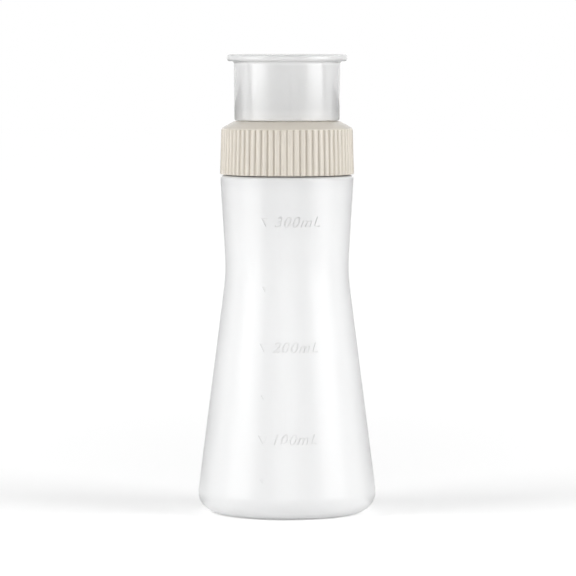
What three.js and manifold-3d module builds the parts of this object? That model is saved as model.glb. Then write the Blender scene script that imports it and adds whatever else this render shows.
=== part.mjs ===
// A squeeze bottle with a screw collar, a nozzle insert and a lift-off dust cover.
// Units are millimetres. +Z is up, and the origin is the middle of the base, on the table.
import * as THREE from 'three';
import { mergeVertices } from 'three/addons/utils/BufferGeometryUtils.js';
import Module from 'manifold-3d';

const wasm = await Module();
wasm.setup();

// Bottle: outside sizes of the blown body
const flareFootRadius = 36.87;
const baseCornerRadius = 8.3;
const waistRadius = 24.5;
const waistHeight = 97.0;
const waistBlend = 60.0;
const shoulderStep = 0.1;
const shoulderHeight = 135.5;
const shoulderRound = 1.4;
const bodyWall = 0.9;
const baseWall = 1.4;
const footRingInner = 23.0;
const footRingRound = 1.6;
const basePushUp = 2.6;

// Bottle: neck
const neckRadius = 21.9;
const neckWall = 1.5;
const neckHeight = 16.5;
const neckRootRound = 0.8;
const lipRound = 0.45;

// Screw thread shared by the neck and the collar
const threadPitch = 4.0;
const threadRootWidth = 2.0;
const threadCrestWidth = 1.1;
const threadRunOut = 1 / 6;
const threadBury = 0.5;
const neckThreadDepth = 1.2;
const neckThreadTurns = 1.75;
const neckThreadBelowRim = 2.3;
const collarThreadTurns = 1.5;
const turnsToRelease = 2.0;

// Clearances between pieces
const seatGap = 0.3;
const slipGap = 0.3;
const threadGap = 0.5;

// Collar
const collarShoulderGap = 0.4;
const collarWall = 2.0;
const collarDraft = 0.52;
const ribCount = 64;
const ribDepth = 0.75;
const grooveShare = 0.2;
const ribShares = [0, 0.12, 0.5, 0.88, 1];
const ribEndRound = 0.5;
const deckThickness = 3.0;
const deckRise = 2.8;
const lipInset = 0.15;
const lipDepth = 0.5;
const deckEdgeRound = 0.75;
const spigotHeight = 2.6;
const spigotWall = 1.5;

// Dust cover
const coverRadius = 21.1;
const coverHeight = 26.4;
const coverTaper = 0.25;
const coverWall = 1.2;
const coverTopThickness = 1.6;
const coverFootRound = 0.6;
const brimRadius = 24.2;
const brimThickness = 2.8;
const brimRound = 1.1;
const brimRootRound = 0.9;

// Nozzle insert
const flangeThickness = 1.6;
const flangeThreadGap = 0.3;
const plugDepth = 5.0;
const plugWall = 1.3;
const domeWall = 1.4;
const domeBelowSpigot = 3.0;
const domeRound = 1.2;
const plateThickness = 1.6;
const nozzlesInRing = 4;
const nozzleHeadroom = 5.8;
const nozzleEdgeGap = 1.1;
const nozzleBaseRadius = 3.9;
const nozzleTipRadius = 1.7;
const nozzleWall = 0.9;
const nozzleFlare = 0.8;

// Facets
const roundSegments = 40;
const nozzleSegments = 12;
const chordError = 0.1;
const threadStepsPerTurn = 20;
const cutMargin = 2.0;

// Sizes that follow from the ones above
const rimHeight = shoulderHeight + neckHeight;
const neckInner = neckRadius - neckWall;
const insertSeat = rimHeight + seatGap;
const collarSeat = shoulderHeight + collarShoulderGap;
const deckUnderside = insertSeat + flangeThickness + seatGap - collarSeat;
const deckTop = deckUnderside + deckThickness;
const coverSeat = collarSeat + deckTop + seatGap;
const collarInner = neckRadius + neckThreadDepth + threadGap;
const collarThreadCrest = neckRadius + threadGap;
const collarCrestTop = collarInner + collarWall + ribDepth;
const collarCrestBottom = collarCrestTop + collarDraft;
const shoulderRadius = collarCrestBottom - shoulderStep;
const spigotRadius = coverRadius - coverWall - slipGap;
const spigotBore = spigotRadius - spigotWall;
const plugRadius = neckInner - slipGap;
const domeRadius = spigotBore - slipGap;
const domeTop = collarSeat + deckTop + spigotHeight - domeBelowSpigot - insertSeat;
const nozzleHeight = coverSeat + coverHeight - coverTopThickness - nozzleHeadroom - insertSeat - domeTop;
const nozzleRing = domeRadius - domeWall - nozzleEdgeGap - nozzleFlare - nozzleBaseRadius;
const neckThreadTop = rimHeight - neckThreadBelowRim;
const neckThreadStart = neckThreadTop - neckThreadTurns * threadPitch;

// An outline in radius and height. Each corner is [radius, height, rounding], and a rounding is drawn as an arc.
function outline(corners) {
  const points = [];
  corners.forEach(([r, z, round = 0], i) => {
    const corner = new THREE.Vector2(r, z);
    if (round === 0) {
      points.push(corner);
      return;
    }
    const back = new THREE.Vector2(...corners[i - 1]).sub(corner).normalize();
    const ahead = new THREE.Vector2(...corners[i + 1]).sub(corner).normalize();
    const half = Math.acos(THREE.MathUtils.clamp(back.dot(ahead), -1, 1)) / 2;
    const middle = back.clone().add(ahead).normalize();
    const centre = corner.clone().addScaledVector(middle, round / Math.sin(half));
    const start = corner.clone().addScaledVector(back, round / Math.tan(half)).sub(centre);
    const turn = (Math.PI - 2 * half) * -Math.sign(back.cross(ahead));
    const steps = Math.ceil(Math.abs(turn) / (2 * Math.acos(1 - Math.min(1, chordError / round))));
    for (let k = 0; k <= steps; k++) {
      points.push(start.clone().rotateAround(new THREE.Vector2(), (turn * k) / steps).add(centre));
    }
  });
  return points;
}

// A closed solid from a three.js geometry: shared points are merged and triangles without area are left out.
function solid(geometry) {
  const bare = geometry.clone();
  bare.deleteAttribute('normal');
  bare.deleteAttribute('uv');
  const merged = mergeVertices(bare, 1e-5);
  const triangles = [];
  for (let i = 0; i < merged.index.count; i += 3) {
    const [a, b, c] = [0, 1, 2].map((k) => merged.index.getX(i + k));
    if (a !== b && b !== c && c !== a) triangles.push(a, b, c);
  }
  return new wasm.Manifold(new wasm.Mesh({
    numProp: 3,
    vertProperties: new Float32Array(merged.attributes.position.array),
    triVerts: new Uint32Array(triangles),
  }));
}

// A solid turned round the Z axis. The outline has the material on its left, from its first point to its last.
function turned(corners, segments = roundSegments) {
  return solid(new THREE.LatheGeometry(outline(corners), segments).rotateX(Math.PI / 2));
}

// A closed solid through a row of rings, each an array with the same number of points, turning to the left.
function lofted(rings) {
  const count = rings[0].length;
  const points = rings.flat();
  const index = [];
  for (let i = 0; i + 1 < rings.length; i++) {
    for (let k = 0; k < count; k++) {
      const [a, b] = [i * count + k, i * count + ((k + 1) % count)];
      index.push(a, b, b + count, a, b + count, a + count);
    }
  }
  const cap = (ring, first, flip) => {
    const middle = ring.reduce((sum, p) => sum.add(p), new THREE.Vector3()).divideScalar(count);
    const tip = points.push(middle) - 1;
    for (let k = 0; k < count; k++) {
      const edge = [first + k, first + ((k + 1) % count)];
      index.push(tip, ...(flip ? edge.reverse() : edge));
    }
  };
  cap(rings[0], 0, true);
  cap(rings.at(-1), (rings.length - 1) * count, false);
  return solid(new THREE.BufferGeometry().setFromPoints(points).setIndex(index));
}

// A helical thread ridge that rises turning left. Its ends fade into the wall that carries it.
function threadRidge({ wallRadius, crestRadius, startHeight, startTurn, turns }) {
  const outward = Math.sign(crestRadius - wallRadius);
  const slope = (threadRootWidth - threadCrestWidth) / 2 / Math.abs(crestRadius - wallRadius);
  const root = wallRadius - threadBury * outward;
  const rootHalf = threadRootWidth / 2 + slope * threadBury;
  const steps = Math.round(turns * threadStepsPerTurn);
  const rings = [];
  for (let i = 0; i <= steps; i++) {
    const along = i / threadStepsPerTurn;
    const fade = Math.min(1, along / threadRunOut, (turns - along) / threadRunOut);
    const crest = wallRadius + (crestRadius - wallRadius) * fade;
    const angle = (startTurn + along) * 2 * Math.PI;
    const height = startHeight + along * threadPitch;
    const crestHalf = threadRootWidth / 2 - slope * Math.abs(crest - wallRadius);
    const section = [
      [root, height - rootHalf],
      [crest, height - crestHalf],
      [crest, height + crestHalf],
      [root, height + rootHalf],
    ];
    if (outward < 0) section.reverse();
    rings.push(section.map(([r, z]) => new THREE.Vector3(r * Math.cos(angle), r * Math.sin(angle), z)));
  }
  return lofted(rings.reverse());
}

// The bottle: a blown body with an open neck and its outside thread
function bottle() {
  const body = turned([
    [0, basePushUp],
    [footRingInner - basePushUp, basePushUp, footRingRound],
    [footRingInner, 0, footRingRound],
    [flareFootRadius, 0, baseCornerRadius],
    [waistRadius, waistHeight, waistBlend],
    [shoulderRadius, shoulderHeight, shoulderRound],
    [neckRadius, shoulderHeight, neckRootRound],
    [neckRadius, rimHeight, lipRound],
    [neckInner, rimHeight, lipRound],
    [neckInner, shoulderHeight - bodyWall],
    [shoulderRadius - bodyWall, shoulderHeight - bodyWall],
    [waistRadius - bodyWall, waistHeight, waistBlend],
    [flareFootRadius - bodyWall, baseWall, baseCornerRadius - bodyWall],
    [footRingInner, baseWall],
    [footRingInner - basePushUp, basePushUp + baseWall],
    [0, basePushUp + baseWall],
  ]);
  return body.add(threadRidge({
    wallRadius: neckRadius,
    crestRadius: neckRadius + neckThreadDepth,
    startHeight: neckThreadStart,
    startTurn: 0,
    turns: neckThreadTurns,
  }));
}

// One tapered spout and the hole through it, standing on the origin
function nozzle() {
  const through = cutMargin + plateThickness;
  const body = turned([
    [0, -plateThickness / 2],
    [nozzleBaseRadius + nozzleFlare, -plateThickness / 2],
    [nozzleBaseRadius + nozzleFlare, 0],
    [nozzleBaseRadius, nozzleFlare],
    [nozzleTipRadius, nozzleHeight, nozzleWall / 3],
    [0, nozzleHeight],
  ], nozzleSegments);
  const bore = turned([
    [0, -through],
    [nozzleBaseRadius - nozzleWall, -through],
    [nozzleBaseRadius - nozzleWall, 0],
    [nozzleTipRadius - nozzleWall, nozzleHeight],
    [nozzleTipRadius - nozzleWall, nozzleHeight + cutMargin],
    [0, nozzleHeight + cutMargin],
  ], nozzleSegments);
  return { body, bore };
}

// The insert: a plug for the neck, a clamped flange, and a dome with its nozzles
function nozzleInsert() {
  let part = turned([
    [0, domeTop - plateThickness],
    [domeRadius - domeWall, domeTop - plateThickness],
    [domeRadius - domeWall, 0],
    [plugRadius - plugWall, 0],
    [plugRadius - plugWall, -plugDepth],
    [plugRadius, -plugDepth, lipRound],
    [plugRadius, 0],
    [collarThreadCrest - flangeThreadGap, 0],
    [collarThreadCrest - flangeThreadGap, flangeThickness],
    [domeRadius, flangeThickness],
    [domeRadius, domeTop, domeRound],
    [0, domeTop],
  ]);
  const places = [[0, 0]];
  for (let i = 0; i < nozzlesInRing; i++) {
    const angle = (i * 2 * Math.PI) / nozzlesInRing;
    places.push([nozzleRing * Math.cos(angle), nozzleRing * Math.sin(angle)]);
  }
  const { body, bore } = nozzle();
  places.forEach(([x, y]) => {
    part = part.add(body.translate([x, y, domeTop]));
  });
  places.forEach(([x, y]) => {
    part = part.subtract(bore.translate([x, y, domeTop]));
  });
  return part;
}

// One ring of the ribbed skirt. Ribs stand on the root radius, with a narrow flat groove between each two.
function ribbedRing(crestRadius, rootRadius, height) {
  const ring = [];
  const pitch = (2 * Math.PI) / ribCount;
  for (let rib = 0; rib < ribCount; rib++) {
    for (const share of ribShares) {
      const angle = (rib + grooveShare / 2 + share * (1 - grooveShare)) * pitch;
      const bulge = Math.sqrt(Math.max(0, 1 - (2 * share - 1) ** 2));
      const r = rootRadius + (crestRadius - rootRadius) * bulge;
      ring.push(new THREE.Vector3(r * Math.cos(angle), r * Math.sin(angle), height));
    }
  }
  return ring;
}

// The collar: a ribbed, drafted skirt with a conical deck, a spigot for the cover and an inside thread
function screwCollar() {
  const deckEdge = deckTop - deckRise;
  const ribTop = deckEdge - lipDepth + ribEndRound;
  const skirt = lofted([
    ribbedRing(collarCrestBottom - ribDepth, collarCrestBottom - ribDepth, 0),
    ribbedRing(collarCrestBottom, collarCrestBottom - ribDepth, ribEndRound),
    ribbedRing(collarCrestTop, collarCrestTop - ribDepth, ribTop - ribEndRound),
    ribbedRing(collarCrestTop - ribDepth, collarCrestTop - ribDepth, ribTop),
  ]);
  const deck = turned([
    [0, ribTop - ribEndRound],
    [collarCrestTop - lipInset, ribTop - ribEndRound],
    [collarCrestTop - lipInset, deckEdge, deckEdgeRound],
    [coverRadius, deckTop],
    [spigotRadius, deckTop],
    [spigotRadius, deckTop + spigotHeight, lipRound],
    [0, deckTop + spigotHeight],
  ]);
  const inside = turned([
    [0, -cutMargin],
    [collarInner + ribEndRound + cutMargin, -cutMargin],
    [collarInner, ribEndRound],
    [collarInner, deckUnderside, lipRound],
    [spigotBore, deckUnderside],
    [spigotBore, deckTop + spigotHeight + cutMargin],
    [0, deckTop + spigotHeight + cutMargin],
  ]);
  const threadStart = neckThreadTop - turnsToRelease * threadPitch - collarSeat;
  const startTurn = (threadStart + collarSeat - neckThreadStart) / threadPitch + 0.5;
  const ridge = threadRidge({
    wallRadius: collarInner,
    crestRadius: collarThreadCrest,
    startHeight: threadStart,
    startTurn,
    turns: collarThreadTurns,
  });
  return skirt.add(deck).subtract(inside).add(ridge);
}

// The dust cover: a cup that is open at the bottom, with a brim round its top
function dustCover() {
  const topRadius = coverRadius + coverTaper;
  const brimUnderside = coverHeight - brimThickness;
  const innerTop = coverHeight - coverTopThickness;
  return turned([
    [0, innerTop],
    [topRadius - coverWall, innerTop, brimRootRound],
    [coverRadius - coverWall, 0],
    [coverRadius, 0, coverFootRound],
    [topRadius, brimUnderside, brimRootRound],
    [brimRadius, brimUnderside, brimRound],
    [brimRadius, coverHeight, brimRound],
    [0, coverHeight],
  ]);
}

// A named mesh from a finished solid
function piece(name, part, height, { color, roughness, opacity = 1 }) {
  const mesh = part.getMesh();
  const geometry = new THREE.BufferGeometry();
  geometry.setAttribute('position', new THREE.BufferAttribute(mesh.vertProperties, mesh.numProp));
  geometry.setIndex(new THREE.BufferAttribute(mesh.triVerts, 1));
  geometry.computeVertexNormals();
  const material = new THREE.MeshStandardMaterial({
    color, roughness, metalness: 0, opacity, transparent: opacity < 1,
  });
  const result = new THREE.Mesh(geometry, material);
  result.name = name;
  result.position.z = height;
  return result;
}

const squeezeBottle = new THREE.Group();
squeezeBottle.add(
  piece('bottle', bottle(), 0, { color: '#f2f3f3', roughness: 0.35, opacity: 0.8 }),
  piece('nozzle_insert', nozzleInsert(), insertSeat, { color: '#f4f4f2', roughness: 0.45, opacity: 0.9 }),
  piece('screw_collar', screwCollar(), collarSeat, { color: '#e3dccf', roughness: 0.4 }),
  piece('dust_cover', dustCover(), coverSeat, { color: '#eceeee', roughness: 0.3, opacity: 0.6 }),
);

export default squeezeBottle;
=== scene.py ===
# %% [markdown]
# # A squeeze bottle with a ribbed screw collar and a frosted dust cover
# The bottle has four pieces: a blown translucent body, a soft insert with five nozzles, a beige screw
# collar and a frosted cup that covers the nozzles. Nearly every form is a body of revolution, so the lesson
# is about drawing a good outline once, rounding its corners, and spinning it into a wall of real thickness.

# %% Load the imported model, which fixes where every piece goes
import math

import bmesh
import bpy
from mathutils import Matrix, Vector


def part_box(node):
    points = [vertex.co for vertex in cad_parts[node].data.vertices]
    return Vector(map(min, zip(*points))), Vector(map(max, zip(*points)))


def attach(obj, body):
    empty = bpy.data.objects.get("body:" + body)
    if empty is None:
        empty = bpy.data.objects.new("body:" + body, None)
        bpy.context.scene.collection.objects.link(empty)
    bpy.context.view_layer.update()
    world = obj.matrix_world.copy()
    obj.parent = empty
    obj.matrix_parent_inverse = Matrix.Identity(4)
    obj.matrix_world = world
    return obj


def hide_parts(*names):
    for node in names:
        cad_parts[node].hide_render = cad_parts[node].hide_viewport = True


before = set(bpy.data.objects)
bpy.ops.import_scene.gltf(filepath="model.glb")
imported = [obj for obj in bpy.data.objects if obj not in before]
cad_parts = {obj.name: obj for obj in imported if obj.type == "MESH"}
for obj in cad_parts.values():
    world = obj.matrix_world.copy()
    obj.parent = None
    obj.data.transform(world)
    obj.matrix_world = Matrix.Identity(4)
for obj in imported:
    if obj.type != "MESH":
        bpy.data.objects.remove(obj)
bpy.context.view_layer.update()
scene = bpy.context.scene
MM = 0.001

# %% [markdown]
# ## Heights and fits
# The frame says where each piece starts and ends. Reading the seats from it keeps the fine meshes on the
# plain solids that they stand for. A box doesn't hold wall thicknesses or roundings, so they are named.

# %% Seats read from the frame, in millimetres
def span(node):
    """Lowest and highest point of a node along Z, in millimetres."""
    low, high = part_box(node)
    return low[2] / MM, high[2] / MM


rim_height = span("bottle")[1]
insert_foot, nozzle_tip = span("nozzle_insert")
collar_seat, spigot_top = span("screw_collar")
cover_seat, cover_top = span("dust_cover")
print(f"rim {rim_height:.1f}, collar {collar_seat:.1f} to {spigot_top:.1f}")
print(f"cover {cover_seat:.1f} to {cover_top:.1f}")

# %% [markdown]
# ## Turning an outline into a piece
# A lathe-like piece could come from a Screw modifier, from stacked cylinders or from a spin. A spin of a wire
# gives clean rings of quads and keeps the wall's inside and outside in one closed mesh. The wire needs only
# its corner points: a vertex bevel rounds each corner into an arc, as a real mould's edge is rounded.

# %% Helpers that draw, round and spin an outline
ROUND_STEPS = 144
CHORD_ERROR = 0.012
MERGE_DISTANCE = 1e-6
SHARP_DEGREES = 35.0


def outline(corners):
    """A wire through (radius, height, rounding) corners in millimetres. A bevel makes each rounding."""
    bm = bmesh.new()
    verts = [bm.verts.new((corner[0] * MM, 0.0, corner[1] * MM)) for corner in corners]
    for start, end in zip(verts, verts[1:]):
        bm.edges.new((start, end))
    places = [vert.co.copy() for vert in verts]
    for i, corner in enumerate(corners):
        if len(corner) < 3:
            continue
        back = (places[i - 1] - places[i]).normalized()
        ahead = (places[i + 1] - places[i]).normalized()
        corner_angle = back.angle(ahead)
        offset = corner[2] * MM / math.tan(corner_angle / 2)
        turn_each = 2 * math.acos(1 - min(1.0, CHORD_ERROR / corner[2]))
        bmesh.ops.bevel(
            bm, geom=[verts[i]], affect="VERTICES", offset=offset, offset_type="OFFSET",
            segments=max(2, math.ceil((math.pi - corner_angle) / turn_each)), profile=0.5, material=-1,
        )
    return bm


def spun(corners, steps=ROUND_STEPS):
    """A closed body of revolution round the Z axis, from an outline that ends on the axis."""
    bm = outline(corners)
    bmesh.ops.spin(
        bm, geom=bm.verts[:] + bm.edges[:], cent=(0, 0, 0), axis=(0, 0, 1), dvec=(0, 0, 0),
        angle=math.tau, space=Matrix.Identity(4), steps=steps, use_merge=True, use_duplicate=False,
    )
    bmesh.ops.remove_doubles(bm, verts=bm.verts[:], dist=MERGE_DISTANCE)
    bmesh.ops.recalc_face_normals(bm, faces=bm.faces[:])
    return bm


def finished(bm, name, material, body, stands_for):
    """Writes a bmesh into an object that shades smoothly, wears its material and rides on its body."""
    mesh = bpy.data.meshes.new(name)
    bm.to_mesh(mesh)
    bm.free()
    mesh.shade_smooth()
    mesh.set_sharp_from_angle(angle=math.radians(SHARP_DEGREES))
    mesh.materials.append(material)
    piece = bpy.data.objects.new(name, mesh)
    scene.collection.objects.link(piece)
    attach(piece, body)
    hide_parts(*stands_for)
    print(f"{name}: {len(mesh.polygons)} faces")


# %% [markdown]
# ## The camera
# The photograph was taken from far away with a long lens, almost level with the top of the bottle: the rim of
# the cover is seen edge-on, while the base shows a clear curve. Distance and height come from those curves.

# %% The camera at the photograph's viewing angle
CAMERA_DISTANCE = 1.614
CAMERA_HEIGHT = 0.194
AIM_HEIGHT = 0.0901
AIM_RIGHT = 0.0004
LENS = 251.5

camera = bpy.data.objects.new("camera", bpy.data.cameras.new("camera"))
camera.data.lens = LENS
camera.data.sensor_width = 36.0
camera.location = (AIM_RIGHT, -CAMERA_DISTANCE, CAMERA_HEIGHT)
aim = Vector((AIM_RIGHT, 0.0, AIM_HEIGHT)) - camera.location
camera.rotation_euler = aim.to_track_quat("-Z", "Y").to_euler()
scene.collection.objects.link(camera)
scene.camera = camera
scene.view_settings.view_transform = "Standard"
print(f"camera {CAMERA_DISTANCE} m in front and {CAMERA_HEIGHT} m up, with a {LENS} mm lens")

# %% [markdown]
# ## The lamps
# The photograph is a catalogue picture on white. It looks lit by two tall soft boxes, which leave two
# bright bands on the plastic with a calm grey stripe between them. Two tall area lamps give those bands
# here, two weak ones lift the sides, and a large front lamp fills the rest.

# %% Soft boxes on both sides and a front fill
LAMP_AIM_HEIGHT = 0.09


def soft_box(name, azimuth, distance, height, width, tall, power):
    """A rectangular lamp at an azimuth from the camera's side, turned towards the bottle."""
    lamp = bpy.data.lights.new(name, "AREA")
    lamp.shape = "RECTANGLE"
    lamp.size = width
    lamp.size_y = tall
    lamp.energy = power
    holder = bpy.data.objects.new(name, lamp)
    angle = math.radians(azimuth)
    holder.location = (distance * math.sin(angle), -distance * math.cos(angle), height)
    towards = Vector((0.0, 0.0, LAMP_AIM_HEIGHT)) - holder.location
    holder.rotation_euler = towards.to_track_quat("-Z", "Y").to_euler()
    scene.collection.objects.link(holder)


SIDES = (("left", -1), ("right", 1))
beside = {"distance": 0.9, "height": 0.3, "tall": 1.0}
for side_name, side in SIDES:
    soft_box(f"{side_name}_box", azimuth=64 * side, width=0.62, power=8.2, **beside)
    soft_box(f"{side_name}_side_box", azimuth=108 * side, width=0.46, power=0.7, **beside)
soft_box("front_fill", azimuth=0, distance=2.2, height=0.2, width=1.2, tall=0.7, power=7.2)

# %% [markdown]
# ## The white room and floor
# More light would make a white background too, but it would wash the bottle out. Here the kind of ray
# decides instead. The eye, gloss and clear plastic see the room and the floor white, and other rays find a
# dim room and a floor without its glow. The glow makes up for the lamplight that fades with distance. It
# is weak near the bottle, where a strong one would wash the shadow out.

# %% The room and the floor
ROOM_LIGHT = 0.18
FLOOR_HALF_WIDTH, FLOOR_DROP, FLOOR_TONE = 6.0, 0.0002, 0.94
GLOW_NEAR, GLOW_FAR = 0.36, 0.83
GLOW_RISES_FROM, GLOW_RISES_TO = 0.1, 0.9


def seen_directly(nodes, links):
    """A socket that is 1 for what the eye, gloss or clear plastic sees, and 0 for light that is cast."""
    path = nodes.new("ShaderNodeLightPath")
    through = nodes.new("ShaderNodeMath")
    through.operation = "MAXIMUM"
    links.new(path.outputs["Is Camera Ray"], through.inputs[0])
    links.new(path.outputs["Is Transmission Ray"], through.inputs[1])
    shown = nodes.new("ShaderNodeMath")
    shown.operation = "MAXIMUM"
    links.new(through.outputs[0], shown.inputs[0])
    links.new(path.outputs["Is Glossy Ray"], shown.inputs[1])
    return shown.outputs[0]


def room():
    """A plain grey room that looks white to the eye, in gloss and through clear plastic."""
    world = bpy.data.worlds.new("room")
    world.use_nodes = True
    nodes, links = world.node_tree.nodes, world.node_tree.links
    background = nodes["Background"]
    strength = nodes.new("ShaderNodeMapRange")
    strength.inputs["To Min"].default_value = ROOM_LIGHT
    strength.inputs["To Max"].default_value = 1.0
    links.new(seen_directly(nodes, links), strength.inputs["Value"])
    links.new(strength.outputs["Result"], background.inputs["Strength"])
    background.inputs["Color"].default_value = (1.0, 1.0, 1.0, 1.0)
    return world


def floor():
    """A wide white floor just under the bottle, with a glow that grows with the distance from it."""
    bm = bmesh.new()
    bmesh.ops.create_grid(bm, x_segments=1, y_segments=1, size=FLOOR_HALF_WIDTH)
    bmesh.ops.translate(bm, verts=bm.verts[:], vec=(0, 0, -FLOOR_DROP))
    mesh = bpy.data.meshes.new("floor")
    bm.to_mesh(mesh)
    bm.free()
    material = bpy.data.materials.new("floor_white")
    material.use_nodes = True
    nodes, links = material.node_tree.nodes, material.node_tree.links
    shader = nodes["Principled BSDF"]
    shader.inputs["Base Color"].default_value = (FLOOR_TONE, FLOOR_TONE, FLOOR_TONE, 1.0)
    shader.inputs["Roughness"].default_value = 0.9
    shader.inputs["Specular IOR Level"].default_value = 0.0
    shader.inputs["Emission Color"].default_value = (1.0, 1.0, 1.0, 1.0)
    place = nodes.new("ShaderNodeTexCoord")
    away = nodes.new("ShaderNodeVectorMath")
    away.operation = "LENGTH"
    glow = nodes.new("ShaderNodeMapRange")
    glow.inputs["From Min"].default_value = GLOW_RISES_FROM
    glow.inputs["From Max"].default_value = GLOW_RISES_TO
    glow.inputs["To Min"].default_value = GLOW_NEAR
    glow.inputs["To Max"].default_value = GLOW_FAR
    shown = nodes.new("ShaderNodeMath")
    shown.operation = "MULTIPLY"
    links.new(place.outputs["Object"], away.inputs[0])
    links.new(away.outputs["Value"], glow.inputs["Value"])
    links.new(glow.outputs["Result"], shown.inputs[0])
    links.new(seen_directly(nodes, links), shown.inputs[1])
    links.new(shown.outputs[0], shader.inputs["Emission Strength"])
    mesh.materials.append(material)
    ground = bpy.data.objects.new("floor", mesh)
    scene.collection.objects.link(ground)


scene.world = room()
floor()
print(f"floor {2 * FLOOR_HALF_WIDTH} m across")

# %% [markdown]
# ## Dark flags
# White plastic on a white ground needs grey edges. A studio gets them from dark panels beside the object: its
# gloss shows them as soft grey lines along the sides. The foot curves under and reflects the floor, so a low
# panel lies there on each side. They are hidden from the eye and take no light away, so only gloss changes.

# %% Panels that only gloss sees
FLAG_TONE = 0.05


def black_flag(name, azimuth, distance, height, width, tall, lean=0.0):
    """A dark panel, placed by its middle as a lamp is, that leans over the bottle by some degrees."""
    bm = bmesh.new()
    bmesh.ops.create_grid(bm, x_segments=1, y_segments=1, size=0.5)
    bmesh.ops.scale(bm, verts=bm.verts[:], vec=(width, tall, 1.0))
    upright = Matrix.Rotation(math.radians(90 - lean), 4, "X")
    placed = Matrix.Translation((0.0, -distance, height))
    around = Matrix.Rotation(math.radians(azimuth), 4, "Z")
    bm.transform(around @ placed @ upright)
    mesh = bpy.data.meshes.new(name)
    bm.to_mesh(mesh)
    bm.free()
    dark = bpy.data.materials.new(name)
    dark.use_nodes = True
    shader = dark.node_tree.nodes["Principled BSDF"]
    shader.inputs["Base Color"].default_value = (FLAG_TONE, FLAG_TONE, FLAG_TONE, 1.0)
    shader.inputs["Roughness"].default_value = 1.0
    mesh.materials.append(dark)
    panel = bpy.data.objects.new(name, mesh)
    panel.visible_camera = False
    panel.visible_diffuse = False
    panel.visible_transmission = False
    panel.visible_shadow = False
    scene.collection.objects.link(panel)


side_panel = {"distance": 0.16, "height": 0.078, "width": 0.15, "tall": 0.155}
foot_panel = {"distance": 0.055, "height": 0.0, "width": 0.06, "tall": 0.04, "lean": 90}
for side_name, side in SIDES:
    black_flag(f"{side_name}_flag", azimuth=134 * side, **side_panel)
    black_flag(f"{side_name}_foot_flag", azimuth=118 * side, **foot_panel)

# %% [markdown]
# ## The plastics
# All four pieces are moulded plastic, but no two look alike. The blown body is milky and lets light through
# its thin wall, the insert is a softer milky plastic, the collar is solid beige with a fine satin grain, and
# the cover is clear plastic with a frosted skin. One function sets up what they share: a slow cloudiness in
# the colour and two scales of fine bump, on Object coordinates so that they stay put.

# %% One recipe for moulded plastic
CLOUD_SCALE, WAVE_SCALE, GRAIN_SCALE = 45.0, 90.0, 2600.0
DEEP_UNTIL, PALE_FROM = 0.1, 0.9
ROUGHNESS_DRIFT = 0.03
GRAIN_HEIGHT, WAVE_HEIGHT = 0.0002, 0.001
WAVE = 0.01


def plastic(name, pale, deep, roughness, grain=0.02):
    """A moulded plastic whose colour drifts between two close tones, with fine grain and slow waves."""
    material = bpy.data.materials.new(name)
    material.use_nodes = True
    nodes, links = material.node_tree.nodes, material.node_tree.links
    shader = nodes["Principled BSDF"]
    place = nodes.new("ShaderNodeTexCoord")
    clouds = nodes.new("ShaderNodeTexNoise")
    clouds.inputs["Scale"].default_value = CLOUD_SCALE
    clouds.inputs["Detail"].default_value = 2.0
    tones = nodes.new("ShaderNodeValToRGB")
    tones.color_ramp.interpolation = "EASE"
    tones.color_ramp.elements[0].position = DEEP_UNTIL
    tones.color_ramp.elements[0].color = (*deep, 1.0)
    tones.color_ramp.elements[1].position = PALE_FROM
    tones.color_ramp.elements[1].color = (*pale, 1.0)
    links.new(place.outputs["Object"], clouds.inputs["Vector"])
    links.new(clouds.outputs["Fac"], tones.inputs["Fac"])
    links.new(tones.outputs["Color"], shader.inputs["Base Color"])

    gloss = nodes.new("ShaderNodeMapRange")
    gloss.inputs["To Min"].default_value = roughness - ROUGHNESS_DRIFT
    gloss.inputs["To Max"].default_value = roughness + ROUGHNESS_DRIFT
    links.new(clouds.outputs["Fac"], gloss.inputs["Value"])
    links.new(gloss.outputs["Result"], shader.inputs["Roughness"])

    fine = nodes.new("ShaderNodeTexNoise")
    fine.inputs["Scale"].default_value = GRAIN_SCALE
    slow = nodes.new("ShaderNodeTexNoise")
    slow.inputs["Scale"].default_value = WAVE_SCALE
    fine_bump = nodes.new("ShaderNodeBump")
    fine_bump.inputs["Strength"].default_value = grain
    fine_bump.inputs["Distance"].default_value = GRAIN_HEIGHT
    slow_bump = nodes.new("ShaderNodeBump")
    slow_bump.inputs["Strength"].default_value = WAVE
    slow_bump.inputs["Distance"].default_value = WAVE_HEIGHT
    links.new(place.outputs["Object"], fine.inputs["Vector"])
    links.new(place.outputs["Object"], slow.inputs["Vector"])
    links.new(slow.outputs["Fac"], slow_bump.inputs["Height"])
    links.new(fine.outputs["Fac"], fine_bump.inputs["Height"])
    links.new(slow_bump.outputs["Normal"], fine_bump.inputs["Normal"])
    links.new(fine_bump.outputs["Normal"], shader.inputs["Normal"])
    return material, shader
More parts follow.
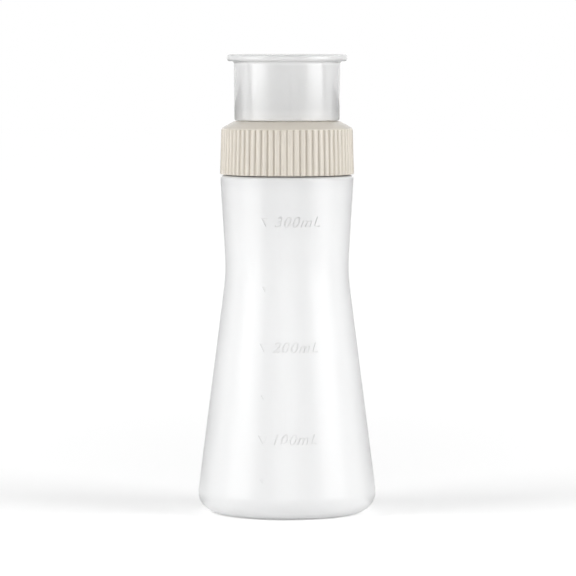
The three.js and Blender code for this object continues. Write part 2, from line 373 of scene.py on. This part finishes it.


# %% [markdown]
# ## Painted shade along a piece
# The body and the cover each grow a little darker over part of their height. That is painted shade in the
# colour, standing in for light that comes through the plastic unevenly, and on the body also for the
# collar's shadow. A ramp on the height gives it, and only its stops differ between the two.

# %% Painted shade up a piece
def painted_shade_by_height(material, stops):
    """Multiplies a plastic's colour by painted shade, from (height in millimetres, tone) stops, lowest first.
    """
    nodes, links = material.node_tree.nodes, material.node_tree.links
    shader = nodes["Principled BSDF"]
    colour = shader.inputs["Base Color"].links[0].from_socket
    lowest, highest = stops[0][0], stops[-1][0]
    place = nodes.new("ShaderNodeTexCoord")
    split = nodes.new("ShaderNodeSeparateXYZ")
    share_up = nodes.new("ShaderNodeMapRange")
    share_up.inputs["From Min"].default_value = lowest * MM
    share_up.inputs["From Max"].default_value = highest * MM
    tone = nodes.new("ShaderNodeValToRGB")
    tone.color_ramp.interpolation = "EASE"
    for height, _ in stops[1:-1]:
        tone.color_ramp.elements.new((height - lowest) / (highest - lowest))
    for element, (_, level) in zip(tone.color_ramp.elements, stops):
        element.color = (level, level, level, 1.0)
    shaded = nodes.new("ShaderNodeMix")
    shaded.data_type = "RGBA"
    shaded.blend_type = "MULTIPLY"
    shaded.inputs["Factor"].default_value = 1.0
    links.new(place.outputs["Object"], split.inputs["Vector"])
    links.new(split.outputs["Z"], share_up.inputs["Value"])
    links.new(share_up.outputs["Result"], tone.inputs["Fac"])
    links.new(colour, shaded.inputs["A"])
    links.new(tone.outputs["Color"], shaded.inputs["B"])
    links.new(shaded.outputs["Result"], shader.inputs["Base Color"])


# %% [markdown]
# ## The four finishes
# The four recipes differ in how light enters them. The body's thin wall lets a little light through. The
# insert is thicker and softer, so light scatters inside it instead. The collar lets almost none in, and the
# cover is the clearest, with a thin glossy coat over a wall that blurs what is behind it.

# %% The finishes
milky_pale, milky_deep = (0.945, 0.947, 0.948), (0.935, 0.938, 0.94)
milky, shader = plastic("milky_blown_plastic", milky_pale, milky_deep, roughness=0.32)
shader.inputs["IOR"].default_value = 1.5
shader.inputs["Specular IOR Level"].default_value = 0.5
shader.inputs["Transmission Weight"].default_value = 0.2
# Painted shade: the body's colour darkens towards the collar, for the collar's shadow and the dimmer light up
# the body.
milky_painted_shade = [(0, 1.0), (60, 0.995), (106, 0.975), (127, 0.92), (136, 0.86)]
painted_shade_by_height(milky, milky_painted_shade)

soft_pale, soft_deep = (0.88, 0.88, 0.865), (0.85, 0.85, 0.835)
soft, shader = plastic("soft_insert_plastic", soft_pale, soft_deep, roughness=0.38)
shader.inputs["Subsurface Weight"].default_value = 0.6
shader.inputs["Subsurface Radius"].default_value = (1.0, 1.0, 0.95)
shader.inputs["Subsurface Scale"].default_value = 0.003

beige_pale, beige_deep = (0.625, 0.58, 0.508), (0.61, 0.565, 0.495)
beige, shader = plastic("beige_collar_plastic", beige_pale, beige_deep, roughness=0.2, grain=0.05)
shader.inputs["Subsurface Weight"].default_value = 0.05
shader.inputs["Subsurface Radius"].default_value = (1.0, 0.9, 0.75)
shader.inputs["Subsurface Scale"].default_value = 0.001

frosted_pale, frosted_deep = (0.955, 0.955, 0.952), (0.945, 0.946, 0.945)
frosted, shader = plastic("frosted_cover_plastic", frosted_pale, frosted_deep, roughness=0.34)
shader.inputs["IOR"].default_value = 1.45
shader.inputs["Transmission Weight"].default_value = 0.6
shader.inputs["Coat Weight"].default_value = 0.7
shader.inputs["Coat Roughness"].default_value = 0.05
print("finishes:", [material.name for material in (milky, soft, beige, frosted)])

# %% [markdown]
# ## The blown body
# The real body is one blown shell, thin all over, with a thicker moulded neck. A shell could be a surface
# with a Solidify modifier, but the neck and base are thicker than the walls, so one outline runs up the
# outside, over the rim and down the inside. The long waist is a single corner with a very wide rounding. The
# foot's radius is 0.08 mm less than the plain model's, so that its fine round stays inside that one's flats.

# %% The body's sizes and its outline
FLARE_FOOT = 36.79
BASE_CORNER = 8.3
WAIST_RADIUS, WAIST_HEIGHT, WAIST_BLEND = 24.5, 97.0, 60.0
SHOULDER_RADIUS, SHOULDER_HEIGHT, SHOULDER_ROUND = 26.77, 135.5, 1.4
BODY_WALL, BASE_WALL = 0.9, 1.4
FOOT_RING, FOOT_ROUND, PUSH_UP = 23.0, 1.6, 2.6
NECK_RADIUS, NECK_WALL, LIP_ROUND, NECK_FILLET = 21.9, 1.5, 0.45, 0.8
neck_inner = NECK_RADIUS - NECK_WALL

outside = [
    (0.0, PUSH_UP),
    (FOOT_RING - PUSH_UP, PUSH_UP, FOOT_ROUND),
    (FOOT_RING, 0.0, FOOT_ROUND),
    (FLARE_FOOT, 0.0, BASE_CORNER),
    (WAIST_RADIUS, WAIST_HEIGHT, WAIST_BLEND),
    (SHOULDER_RADIUS, SHOULDER_HEIGHT, SHOULDER_ROUND),
    (NECK_RADIUS, SHOULDER_HEIGHT, NECK_FILLET),
    (NECK_RADIUS, rim_height, LIP_ROUND),
]
inside = [
    (neck_inner, rim_height, LIP_ROUND),
    (neck_inner, SHOULDER_HEIGHT - BODY_WALL, NECK_FILLET),
    (SHOULDER_RADIUS - BODY_WALL, SHOULDER_HEIGHT - BODY_WALL, SHOULDER_ROUND),
    (WAIST_RADIUS - BODY_WALL, WAIST_HEIGHT, WAIST_BLEND),
    (FLARE_FOOT - BODY_WALL, BASE_WALL, BASE_CORNER - BODY_WALL),
    (FOOT_RING, BASE_WALL, FOOT_ROUND),
    (FOOT_RING - PUSH_UP, PUSH_UP + BASE_WALL, FOOT_ROUND),
    (0.0, PUSH_UP + BASE_WALL),
]
print(f"body outline: {len(outside)} corners outside and {len(inside)} inside")

# %% [markdown]
# ## Joining and cutting solids
# A mould gives marks, threads and spouts as one skin with the wall that carries them. Pieces that only
# overlap would leave hidden walls inside, and those can show through translucent plastic. Exact booleans
# make one clean skin. A Boolean modifier does the work on short-lived objects.

# %% Exact joins and cuts
CUT_MERGE_DISTANCE = 2e-6


def temporary_object(bm, name):
    """A short-lived object for a boolean to read."""
    mesh = bpy.data.meshes.new(name)
    bm.to_mesh(mesh)
    bm.free()
    holder = bpy.data.objects.new(name, mesh)
    scene.collection.objects.link(holder)
    return holder


def boolean(bm, tools, operation):
    """Joins or cuts a bmesh with each tool in turn, exactly, and gives the result back as a bmesh.

    A tool whose skin crosses itself can make a join lose its wall without a word. So the volume may only
    change the right way, and by no more than the tools hold.
    """
    volume_before = bm.calc_volume()
    tools_hold = sum(tool.calc_volume() for tool in tools)
    base = temporary_object(bm, "boolean_base")
    holders = [temporary_object(tool, "boolean_tool") for tool in tools]
    for holder in holders:
        step = base.modifiers.new("step", "BOOLEAN")
        step.operation = operation
        step.solver = "EXACT"
        step.object = holder
    bpy.context.view_layer.update()
    mesh = bpy.data.meshes.new_from_object(base.evaluated_get(bpy.context.evaluated_depsgraph_get()))
    result = bmesh.new()
    result.from_mesh(mesh)
    for holder in holders + [base]:
        used = holder.data
        bpy.data.objects.remove(holder)
        bpy.data.meshes.remove(used)
    bpy.data.meshes.remove(mesh)
    bmesh.ops.remove_doubles(result, verts=result.verts[:], dist=CUT_MERGE_DISTANCE)
    change = (result.calc_volume() - volume_before) * (1 if operation == "UNION" else -1)
    print(f"{operation.lower()}: {change / MM**3:.1f} of {tools_hold / MM**3:.1f} cubic millimetres")
    if not 0.0 < change <= tools_hold:
        raise RuntimeError(f"a {operation.lower()} changed the volume wrongly")
    return result


# %% [markdown]
# ## The screw thread
# The thread is a ridge that climbs one pitch a turn. A Screw modifier makes one too, but here the same ridge
# is needed inside the collar and outside the neck, with ends that fade away. So a four-cornered section is
# spun with a small rise at every step, and the tip's two corners are then drawn back near both ends.

# %% A helical ridge
PITCH = 4.0
THREAD_ROOT, THREAD_CREST = 2.0, 1.1
THREAD_BURY = 0.4
THREAD_STEPS = 72
THREAD_FADE = 0.15


def thread_ridge(wall, crest, start_height, start_turn, turns):
    """The ridge of a right-hand thread, from the wall's radius to the crest's, in millimetres."""
    slope = (THREAD_ROOT - THREAD_CREST) / 2 / abs(crest - wall)
    root = wall + math.copysign(THREAD_BURY, wall - crest)
    root_half = THREAD_ROOT / 2 + slope * THREAD_BURY
    crest_half = THREAD_CREST / 2
    corners = [(root, -root_half), (crest, -crest_half), (crest, crest_half), (root, root_half)]
    ridge = bmesh.new()
    ring = [ridge.verts.new((r * MM, 0.0, z * MM)) for r, z in corners]
    for i, vert in enumerate(ring):
        ridge.edges.new((vert, ring[i - 1]))
    steps = round(turns * THREAD_STEPS)
    bmesh.ops.spin(
        ridge, geom=ridge.verts[:] + ridge.edges[:], cent=(0, 0, 0), axis=(0, 0, 1),
        dvec=(0, 0, PITCH * MM / THREAD_STEPS), angle=turns * math.tau, space=Matrix.Identity(4),
        steps=steps, use_merge=False, use_duplicate=False,
    )
    bmesh.ops.holes_fill(ridge, edges=ridge.edges[:], sides=4)
    for vert in ridge.verts:
        part_turn = (math.atan2(vert.co.y, vert.co.x) / math.tau) % 1.0
        along = part_turn + round(vert.co.z / MM / PITCH - part_turn)
        fade = max(0.0, min(1.0, along / THREAD_FADE, (turns - along) / THREAD_FADE))
        radius = math.hypot(vert.co.x, vert.co.y)
        if abs(radius - crest * MM) < abs(radius - root * MM):
            shrink = (wall + (crest - wall) * math.sin(fade * math.pi / 2)) * MM / radius
            vert.co.x *= shrink
            vert.co.y *= shrink
    bmesh.ops.recalc_face_normals(ridge, faces=ridge.faces[:])
    turn = Matrix.Rotation(start_turn * math.tau, 4, "Z")
    ridge.transform(Matrix.Translation((0.0, 0.0, start_height * MM)) @ turn)
    return ridge


# %% The neck's own thread
NECK_THREAD_DEPTH, NECK_THREAD_TURNS, THREAD_BELOW_RIM = 1.2, 1.75, 2.3
thread_top = rim_height - THREAD_BELOW_RIM
neck_thread_start = thread_top - NECK_THREAD_TURNS * PITCH
neck_crest = NECK_RADIUS + NECK_THREAD_DEPTH
neck_thread = thread_ridge(NECK_RADIUS, neck_crest, neck_thread_start, 0.0, NECK_THREAD_TURNS)
print(f"neck thread {neck_thread_start:.1f} to {thread_top:.1f}")

# %% [markdown]
# ## The graduation marks
# Slanted numbers stand beside arrows that point down at three levels, and smaller arrows mark the levels
# half-way. In the photograph the arrows are dark along their left edge. A sunk mark looks so between these
# soft boxes, so the marks are cut into the wall. Text objects give clean letters. They are made into
# meshes, and every point is then laid on the body: its x and height give the place, and its depth is a
# distance into the wall.

# %% The marks' sizes and places
MARK_DEPTH, MARK_CLEAR, MARK_ROUND = 0.32, 0.25, 0.12
MARK_LEAN = 0.0145
TEXT_SIZE, TEXT_SLANT, TEXT_SPACING, TEXT_LEFT = 6.0, 0.32, 1.12, -5.2
ARROW_MIDDLE, ARROW_SIZE, TICK_SIZE = -8.4, 3.4, 2.0
NUMBERED_LEVELS = [("300mL", 117.6), ("200mL", 68.0), ("100mL", 31.9)]
HALF_WAY_LEVELS = [91.0, 48.6, 15.8]

wire = outline(outside[:-2] + [(NECK_RADIUS, SHOULDER_HEIGHT)])
wall_line = sorted((vert.co.z, vert.co.x) for vert in wire.verts if vert.co.x > NECK_RADIUS * MM)
wire.free()


def wall_radius(height):
    """The outside radius of the body at a height, both in metres."""
    for (low, r_low), (high, r_high) in zip(wall_line, wall_line[1:]):
        if low <= height <= high and high > low and height > BASE_CORNER * MM:
            return r_low + (r_high - r_low) * (height - low) / (high - low)
    return FLARE_FOOT * MM


def laid_on(bm, level):
    """Lays a flat mark, drawn in X and Z with its depth along Y, on the body. The column leans a little."""
    top_level = NUMBERED_LEVELS[0][1]
    bmesh.ops.triangulate(bm, faces=bm.faces[:])
    for vert in bm.verts:
        height = vert.co.z + level * MM
        radius = wall_radius(height)
        across = vert.co.x - MARK_LEAN * (top_level - level) * MM
        angle = math.asin(across / radius)
        out = radius - vert.co.y
        vert.co = (out * math.sin(angle), -out * math.cos(angle), height)
    return bm


def text_mark(words):
    """A slanted word as a flat slab."""
    curve = bpy.data.curves.new("mark_text", "FONT")
    curve.body = words
    curve.size = TEXT_SIZE * MM
    curve.shear = TEXT_SLANT
    curve.align_y = "CENTER"
    curve.space_character = TEXT_SPACING
    curve.extrude = ((MARK_DEPTH + MARK_CLEAR) / 2 - MARK_ROUND) * MM
    curve.bevel_depth = MARK_ROUND * MM
    curve.bevel_resolution = 2
    curve.offset = -MARK_ROUND * MM
    holder = bpy.data.objects.new("mark_text", curve)
    scene.collection.objects.link(holder)
    bpy.context.view_layer.update()
    mesh = bpy.data.meshes.new_from_object(holder.evaluated_get(bpy.context.evaluated_depsgraph_get()))
    bm = bmesh.new()
    bm.from_mesh(mesh)
    bpy.data.objects.remove(holder)
    bpy.data.curves.remove(curve)
    bpy.data.meshes.remove(mesh)
    bmesh.ops.remove_doubles(bm, verts=bm.verts[:], dist=MERGE_DISTANCE)
    bmesh.ops.rotate(bm, verts=bm.verts[:], cent=(0, 0, 0), matrix=Matrix.Rotation(math.radians(90), 3, "X"))
    depth = (MARK_DEPTH - MARK_CLEAR) / 2 * MM
    bmesh.ops.translate(bm, verts=bm.verts[:], vec=(TEXT_LEFT * MM, depth, 0))
    return bm


def arrow_mark(size):
    """A small triangle that points down at the level, as a flat slab."""
    bm = bmesh.new()
    half = size / 2
    corners = [(-half, half), (half, half), (0.0, -half)]
    verts = [bm.verts.new((x * MM, MARK_DEPTH * MM, z * MM)) for x, z in corners]
    face = bm.faces.new(verts)
    grown = bmesh.ops.extrude_face_region(bm, geom=[face])["geom"]
    top = [item for item in grown if isinstance(item, bmesh.types.BMVert)]
    bmesh.ops.translate(bm, verts=top, vec=(0, -(MARK_DEPTH + MARK_CLEAR) * MM, 0))
    bmesh.ops.recalc_face_normals(bm, faces=bm.faces[:])
    deepest = max(bm.faces, key=lambda slab_face: slab_face.calc_center_median().y)
    bmesh.ops.bevel(
        bm, geom=list(deepest.edges), affect="EDGES", offset=MARK_ROUND * MM,
        segments=3, profile=0.5, material=-1,
    )
    bmesh.ops.translate(bm, verts=bm.verts[:], vec=(ARROW_MIDDLE * MM, 0, 0))
    return bm


# %% Join the thread to the body and cut the marks
marks = []
for words, level in NUMBERED_LEVELS:
    marks += [laid_on(arrow_mark(ARROW_SIZE), level), laid_on(text_mark(words), level)]
for level in HALF_WAY_LEVELS:
    marks.append(laid_on(arrow_mark(TICK_SIZE), level))
bm = boolean(spun(outside + inside), [neck_thread], "UNION")
bm = boolean(bm, marks, "DIFFERENCE")
finished(bm, "bottle_body", milky, "bottle", stands_for=["bottle"])

# %% [markdown]
# ## The ribbed collar
# The collar's skirt has 64 rounded ribs with narrow grooves between them. It widens slightly downwards, so
# that the moulding slides out of its tool. Sixty-four copies of one rib would need joining. Instead the
# collar's closed section is spun in many steps as if it were plain, and the points of its skirt are then
# held back to the radius that a rib or a groove has at their angle.

# %% The collar's sizes
RIBS, RIB_DEPTH, RIB_STEPS = 64, 0.75, 14
GROOVE_SHARE, RIB_FULLNESS = 0.2, 2.0
COLLAR_WALL, COLLAR_DRAFT = 2.0, 0.52
THREAD_GAP, SLIP_GAP = 0.5, 0.3
DECK_THICKNESS, DECK_RISE = 3.0, 2.8
LIP_INSET, LIP_DEPTH, LIP_FADE, DECK_EDGE_ROUND = 0.15, 0.5, 0.12, 0.75
FOOT_CHAMFER, SKIRT_ROUND = 0.5, 0.5
CRISP_ROUND, SOFT_ROUND, SPIGOT_FILLET = 0.2, 0.3, 0.15
SPIGOT_HEIGHT, SPIGOT_WALL = 2.6, 1.5
COVER_RADIUS, COVER_WALL = 21.1, 1.2
collar_inner = NECK_RADIUS + NECK_THREAD_DEPTH + THREAD_GAP
crest_top = collar_inner + COLLAR_WALL + RIB_DEPTH
crest_bottom = crest_top + COLLAR_DRAFT
spigot_radius = COVER_RADIUS - COVER_WALL - SLIP_GAP
spigot_bore = spigot_radius - SPIGOT_WALL
deck_top = spigot_top - SPIGOT_HEIGHT
deck_underside = deck_top - DECK_THICKNESS
deck_edge = deck_top - DECK_RISE
rib_top = deck_edge - LIP_DEPTH

collar_section = [
    (collar_inner, collar_seat + FOOT_CHAMFER),
    (collar_inner + FOOT_CHAMFER, collar_seat),
    (crest_bottom, collar_seat, SKIRT_ROUND),
    (crest_top, rib_top, CRISP_ROUND),
    (crest_top - LIP_INSET, rib_top + LIP_FADE),
    (crest_top - LIP_INSET, deck_edge, DECK_EDGE_ROUND),
    (COVER_RADIUS, deck_top, CRISP_ROUND),
    (spigot_radius, deck_top, SPIGOT_FILLET),
    (spigot_radius, spigot_top, LIP_ROUND),
    (spigot_bore, spigot_top, SOFT_ROUND),
    (spigot_bore, deck_underside, SOFT_ROUND),
    (collar_inner, deck_underside, LIP_ROUND),
    (collar_inner, deck_underside - 2 * LIP_ROUND),
]
print(f"collar radius {crest_bottom:.2f} at its foot and {crest_top:.2f} at the top of the ribs")

# %% A closed section, spun, with its skirt held back between the ribs
SECTORS = 8


def spun_ring(corners, steps):
    """A closed ring, from an outline whose last corner joins its first and stays off the axis.

    A spin of very many steps is slow, so one sector is spun, copied round, and its seams are merged.
    """
    bm = outline(corners)
    ends = [vert for vert in bm.verts if len(vert.link_edges) == 1]
    bm.edges.new(ends)
    sector = math.tau / SECTORS
    bmesh.ops.spin(
        bm, geom=bm.verts[:] + bm.edges[:], cent=(0, 0, 0), axis=(0, 0, 1), dvec=(0, 0, 0),
        angle=sector, space=Matrix.Identity(4), steps=steps // SECTORS, use_merge=False, use_duplicate=False,
    )
    bmesh.ops.spin(
        bm, geom=bm.verts[:] + bm.edges[:] + bm.faces[:], cent=(0, 0, 0), axis=(0, 0, 1), dvec=(0, 0, 0),
        angle=math.tau - sector, space=Matrix.Identity(4), steps=SECTORS - 1, use_merge=False,
        use_duplicate=True,
    )
    bmesh.ops.remove_doubles(bm, verts=bm.verts[:], dist=MERGE_DISTANCE)
    bmesh.ops.recalc_face_normals(bm, faces=bm.faces[:])
    return bm


def rib_share(angle):
    """How far the skirt stands out at an angle, from 0 in a groove to 1 on a crest."""
    across = (angle / math.tau * RIBS) % 1.0 * 2.0 - 1.0
    across /= 1.0 - GROOVE_SHARE
    return math.sqrt(1.0 - abs(across) ** RIB_FULLNESS) if abs(across) < 1.0 else 0.0


def hold_back_ribs(bm):
    """Draws the skirt's points in to the ribbed outline. The lip and all that is above it stay round."""
    for vert in bm.verts:
        level = vert.co.z / MM
        if level > rib_top + LIP_FADE / 2:
            continue
        share_up = (level - collar_seat) / (rib_top - collar_seat)
        crest = crest_bottom - COLLAR_DRAFT * share_up
        angle = math.atan2(vert.co.y, vert.co.x)
        limit = (crest - RIB_DEPTH * (1.0 - rib_share(angle))) * MM
        radius = math.hypot(vert.co.x, vert.co.y)
        if radius > limit:
            vert.co.x *= limit / radius
            vert.co.y *= limit / radius


bm = spun_ring(collar_section, RIBS * RIB_STEPS)
hold_back_ribs(bm)

# %% [markdown]
# ## The collar's own thread
# Its lower end lies two turns below the top of the neck's thread, so two turns of the collar set it free.
# It is half a pitch away from that thread, so the ridges lie between each other when it is screwed home.

# %% Add the inside thread and finish the collar
TURNS_TO_RELEASE, COLLAR_THREAD_TURNS = 2.0, 1.5
collar_thread_start = thread_top - TURNS_TO_RELEASE * PITCH
start_turn = (collar_thread_start - neck_thread_start) / PITCH + 0.5
collar_crest = NECK_RADIUS + THREAD_GAP
ridge = thread_ridge(collar_inner, collar_crest, collar_thread_start, start_turn, COLLAR_THREAD_TURNS)
bm = boolean(bm, [ridge], "UNION")
finished(bm, "ribbed_collar", beige, "screw_collar", stands_for=["screw_collar"])

# %% [markdown]
# ## The nozzle insert
# Under the cover sits one soft moulding: a plug for the neck, a flange that the collar clamps, and a flat
# dome with five spouts. The cover hides it, so its form is worked out. The plug and dome are spun. The
# spouts are spun too, joined to the dome, and then bored through with exact booleans, which leave true
# holes.

# %% The insert's sizes and its outline
FLANGE_THICKNESS, FLANGE_THREAD_GAP = 1.6, 0.3
PLUG_DEPTH, PLUG_WALL, DOME_WALL, PLATE_THICKNESS = 5.0, 1.3, 1.4, 1.6
DOME_BELOW_SPIGOT, DOME_ROUND, DOME_FILLET, PLUG_FILLET = 3.0, 1.2, 0.8, 0.6
NOZZLES_IN_RING, NOZZLE_EDGE_GAP = 4, 1.1
NOZZLE_BASE, NOZZLE_TIP, NOZZLE_WALL, NOZZLE_FLARE = 3.9, 1.7, 0.9, 0.8
insert_seat = insert_foot + PLUG_DEPTH
plug_radius = neck_inner - SLIP_GAP
flange_radius = NECK_RADIUS + THREAD_GAP - FLANGE_THREAD_GAP
dome_radius = spigot_bore - SLIP_GAP
dome_top = spigot_top - DOME_BELOW_SPIGOT
nozzle_ring = dome_radius - DOME_WALL - NOZZLE_EDGE_GAP - NOZZLE_FLARE - NOZZLE_BASE

insert_outline = [
    (0.0, dome_top - PLATE_THICKNESS),
    (dome_radius - DOME_WALL, dome_top - PLATE_THICKNESS, DOME_FILLET),
    (dome_radius - DOME_WALL, insert_seat, PLUG_FILLET),
    (plug_radius - PLUG_WALL, insert_seat, PLUG_FILLET),
    (plug_radius - PLUG_WALL, insert_foot, SOFT_ROUND),
    (plug_radius, insert_foot, LIP_ROUND),
    (plug_radius, insert_seat, CRISP_ROUND),
    (flange_radius, insert_seat, SOFT_ROUND),
    (flange_radius, insert_seat + FLANGE_THICKNESS, SOFT_ROUND),
    (dome_radius, insert_seat + FLANGE_THICKNESS, SOFT_ROUND),
    (dome_radius, dome_top, DOME_ROUND),
    (0.0, dome_top),
]
print(f"insert {insert_foot:.1f} to {nozzle_tip:.1f}, with its dome at {dome_top:.1f}")

# %% One spout, and the hole through it
SPOUT_STEPS = 48
SPOUT_FILLET, BORE_MARGIN = 0.6, 2.0


def spout():
    """A tapered spout with a flared foot, standing on the dome's top."""
    return spun([
        (0.0, dome_top - PLATE_THICKNESS / 2),
        (NOZZLE_BASE + NOZZLE_FLARE, dome_top - PLATE_THICKNESS / 2),
        (NOZZLE_BASE + NOZZLE_FLARE, dome_top),
        (NOZZLE_BASE, dome_top + NOZZLE_FLARE, SPOUT_FILLET),
        (NOZZLE_TIP, nozzle_tip, NOZZLE_WALL / 3),
        (0.0, nozzle_tip),
    ], SPOUT_STEPS)


def spout_bore():
    """The tapered hole through a spout and the dome's plate, as a solid to cut with."""
    low = dome_top - PLATE_THICKNESS - BORE_MARGIN
    return spun([
        (0.0, low),
        (NOZZLE_BASE - NOZZLE_WALL, low),
        (NOZZLE_BASE - NOZZLE_WALL, dome_top),
        (NOZZLE_TIP - NOZZLE_WALL, nozzle_tip),
        (NOZZLE_TIP - NOZZLE_WALL, nozzle_tip + BORE_MARGIN),
        (0.0, nozzle_tip + BORE_MARGIN),
    ], SPOUT_STEPS)


# %% Join the spouts, bore them and finish the insert
ring_angles = [i * math.tau / NOZZLES_IN_RING for i in range(NOZZLES_IN_RING)]
spout_places = [Vector((0.0, 0.0, 0.0))]
spout_places += [Vector((math.cos(angle), math.sin(angle), 0.0)) * nozzle_ring * MM for angle in ring_angles]


def at_every_place(make):
    """One copy of a bmesh shape at each spout's place."""
    copies = []
    for place in spout_places:
        copy = make()
        bmesh.ops.translate(copy, verts=copy.verts[:], vec=place)
        copies.append(copy)
    return copies


bm = boolean(spun(insert_outline), at_every_place(spout), "UNION")
bm = boolean(bm, at_every_place(spout_bore), "DIFFERENCE")
finished(bm, "soft_nozzle_insert", soft, "nozzle_insert", stands_for=["nozzle_insert"])

# %% [markdown]
# ## The dust cover
# The cover is a plain cup turned upside down, open at the bottom, with a thick brim round its top to pull it
# by. Its wall leans out by a quarter of a millimetre towards the brim. One outline starts at the middle of
# the closed top's underside, runs down the inside and up the outside, and ends at the middle of the top.

# %% The cover's sizes and its outline
COVER_TAPER, COVER_TOP_THICKNESS, COVER_FOOT_ROUND = 0.25, 1.6, 0.6
BRIM_RADIUS, BRIM_THICKNESS, BRIM_ROUND, BRIM_ROOT = 24.2, 2.8, 1.1, 0.9
cover_top_radius = COVER_RADIUS + COVER_TAPER
brim_underside = cover_top - BRIM_THICKNESS
inner_top = cover_top - COVER_TOP_THICKNESS
# Painted shade and light on the cover: a darker band above its foot, and paler colour at the foot and under
# the brim.
painted_shade_by_height(frosted, [
    (cover_seat, 1.0),
    (cover_seat + SPIGOT_HEIGHT, 0.96),
    (cover_seat + 2 * SPIGOT_HEIGHT, 0.90),
    (brim_underside - 2 * BRIM_ROOT, 0.92),
    (brim_underside - BRIM_ROOT, 1.0),
])

bm = spun([
    (0.0, inner_top),
    (cover_top_radius - COVER_WALL, inner_top, BRIM_ROOT),
    (COVER_RADIUS - COVER_WALL, cover_seat, SOFT_ROUND),
    (COVER_RADIUS, cover_seat, COVER_FOOT_ROUND),
    (cover_top_radius, brim_underside, BRIM_ROOT),
    (BRIM_RADIUS, brim_underside, BRIM_ROUND),
    (BRIM_RADIUS, cover_top, BRIM_ROUND),
    (0.0, cover_top),
])
finished(bm, "frosted_dust_cover", frosted, "dust_cover", stands_for=["dust_cover"])
